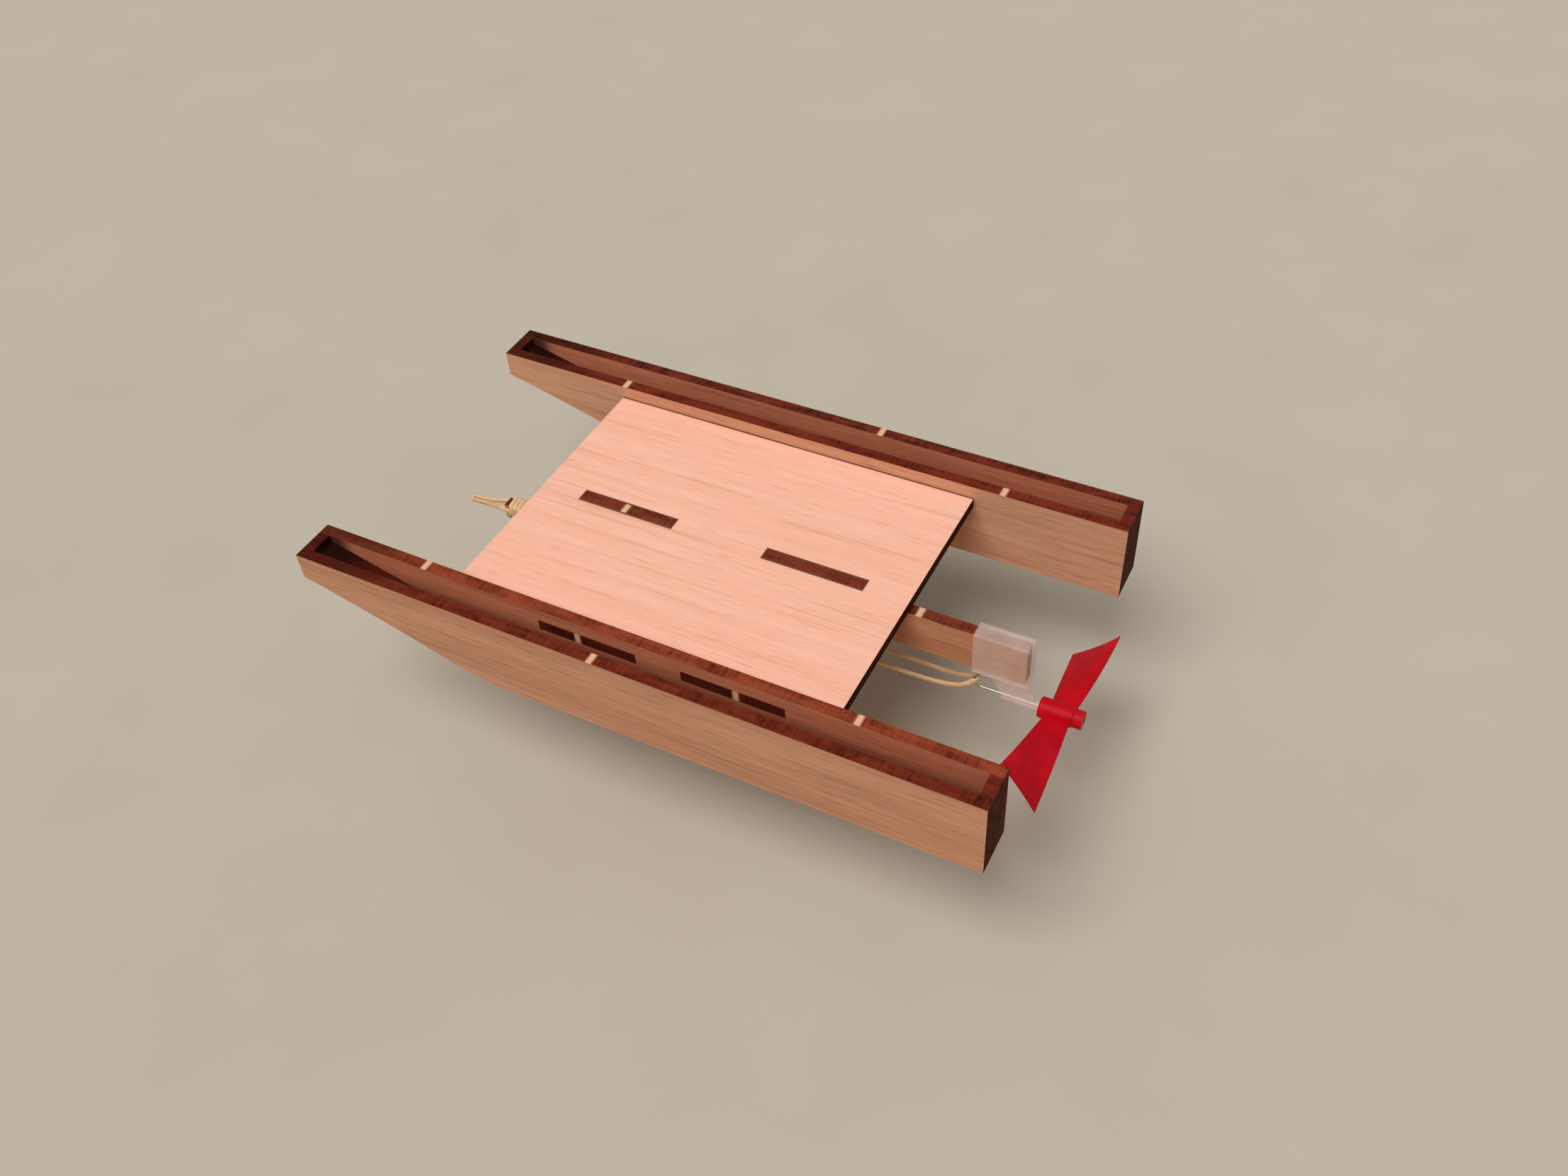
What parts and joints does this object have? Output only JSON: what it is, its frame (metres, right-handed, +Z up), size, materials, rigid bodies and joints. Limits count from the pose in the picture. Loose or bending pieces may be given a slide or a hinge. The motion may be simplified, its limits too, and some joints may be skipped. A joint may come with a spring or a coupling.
{
  "type": "rubber band powered catamaran boat",
  "caption": "Flat-decked wooden toy catamaran with two open box pontoons and a stick motor: a twisted rubber band turns a wire shaft and a two-bladed propeller at the stern.",
  "frame": {"origin": "middle of the deck's top face", "axes": "+X towards the bow, +Y to port, +Z up out of the deck"},
  "size_m": [0.3079, 0.169, 0.0554],
  "materials": {
    "deck_wood": "bare laser-cut basswood, fine grain along the hull, top face",
    "pontoon_wood": "bare laser-cut basswood with scorched brown edges",
    "stick_wood": "bare laser-cut basswood with scorched brown edges",
    "clear_plastic": "translucent natural moulded plastic",
    "steel_wire": "drawn spring wire",
    "red_plastic": "glossy moulded plastic",
    "tan_rubber": "pale tan natural rubber, slightly translucent"
  },
  "bodies": {
    "hull": {"port_inner_side": "pontoon_wood", "port_outer_side": "pontoon_wood", "port_bottom": "pontoon_wood", "port_transom": "pontoon_wood", "port_bow_plate": "pontoon_wood", "starboard_inner_side": "pontoon_wood", "starboard_outer_side": "pontoon_wood", "starboard_bottom": "pontoon_wood", "starboard_transom": "pontoon_wood", "starboard_bow_plate": "pontoon_wood", "deck": "deck_wood", "motor_stick": "stick_wood", "prop_hanger": "clear_plastic", "rubber_band": "tan_rubber"},
    "drive": {"prop_shaft": "steel_wire", "propeller": "red_plastic"}
  },
  "joints": [
    {"name": "shaft_spin", "type": "hinge", "parent": "hull", "child": "drive", "pos_m": [-0.1505, 0, -0.0361], "axis": [1, 0, 0], "continuous": true, "deforming": ["rubber_band"]}
  ]
}
